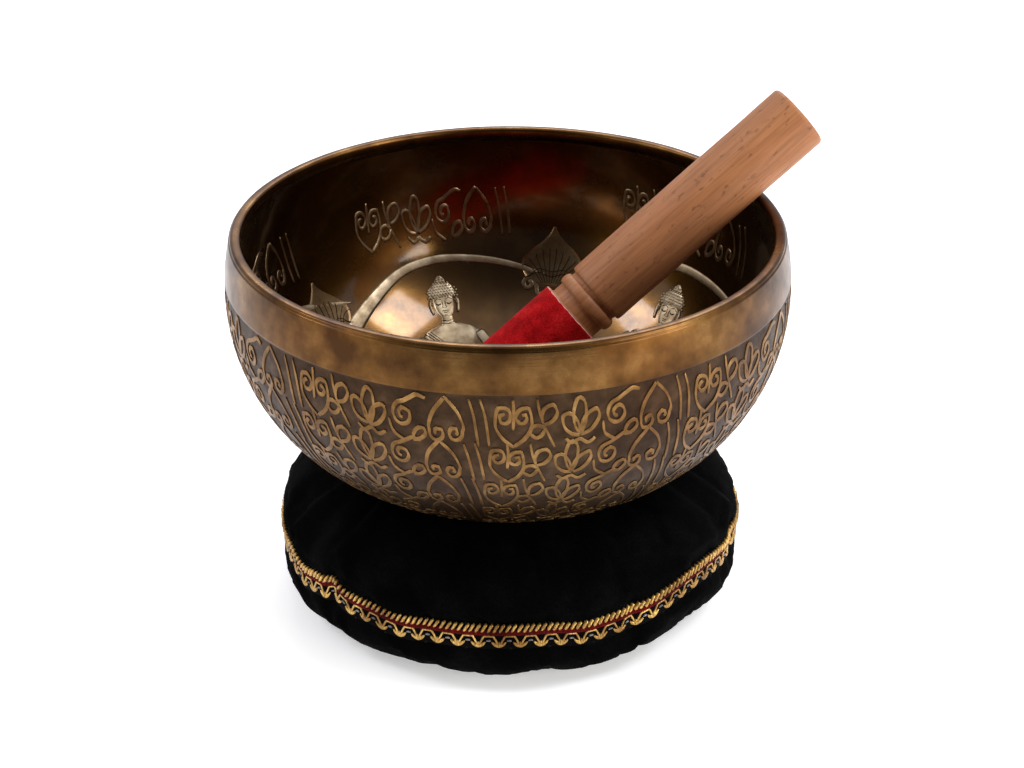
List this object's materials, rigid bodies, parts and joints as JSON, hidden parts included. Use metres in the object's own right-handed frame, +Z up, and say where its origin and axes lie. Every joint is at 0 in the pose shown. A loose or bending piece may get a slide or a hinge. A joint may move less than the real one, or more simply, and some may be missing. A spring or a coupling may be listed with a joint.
{
  "type": "singing bowl",
  "caption": "Round bronze singing bowl with etched ornament, resting on a round braided velvet cushion, with a suede-wrapped wooden mallet leaning over its rim.",
  "frame": {"origin": "centre of the cushion's flat underside, on the bowl's upright axis", "axes": "+Z up along the bowl's axis; +X to the right and +Y away from a viewer in front, with the mallet leaning out over the rim about 17 degrees from +X towards +Y"},
  "size_m": [0.2355, 0.2215, 0.1973],
  "materials": {
    "bronze": "turned and etched, aged",
    "turned_wood": "turned, waxed",
    "red_suede": "suede",
    "black_velvet": "velvet",
    "fibre_filling": "loose fibre",
    "black_thread": "sewing thread",
    "dark_tape": "woven tape",
    "gold_yarn": "metallic yarn",
    "dark_red_yarn": "satin yarn",
    "pale_yarn": "satin yarn"
  },
  "bodies": {
    "cushion": {"cushion_top_cover": "black_velvet", "cushion_bottom_cover": "black_velvet", "cushion_filling": "fibre_filling", "cushion_seam_stitches": "black_thread", "trim_tape": "dark_tape", "trim_end_fold": "dark_tape", "trim_stitches": "black_thread", "trim_gold_twist": "gold_yarn", "trim_gold_arches": "gold_yarn", "trim_gold_crescents": "gold_yarn", "trim_red_stripe": "dark_red_yarn", "trim_dots": "pale_yarn"},
    "bowl": {"bowl": "bronze"},
    "mallet": {"mallet_stick": "turned_wood", "mallet_wrap": "red_suede"}
  },
  "joints": [
    {"name": "bowl_lift", "type": "slide", "parent": "cushion", "child": "bowl", "axis": [0, 0, 1], "range_m": [0, 0.1]},
    {"name": "mallet_lift", "type": "slide", "parent": "bowl", "child": "mallet", "axis": [0, 0, 1], "range_m": [0, 0.14]}
  ]
}
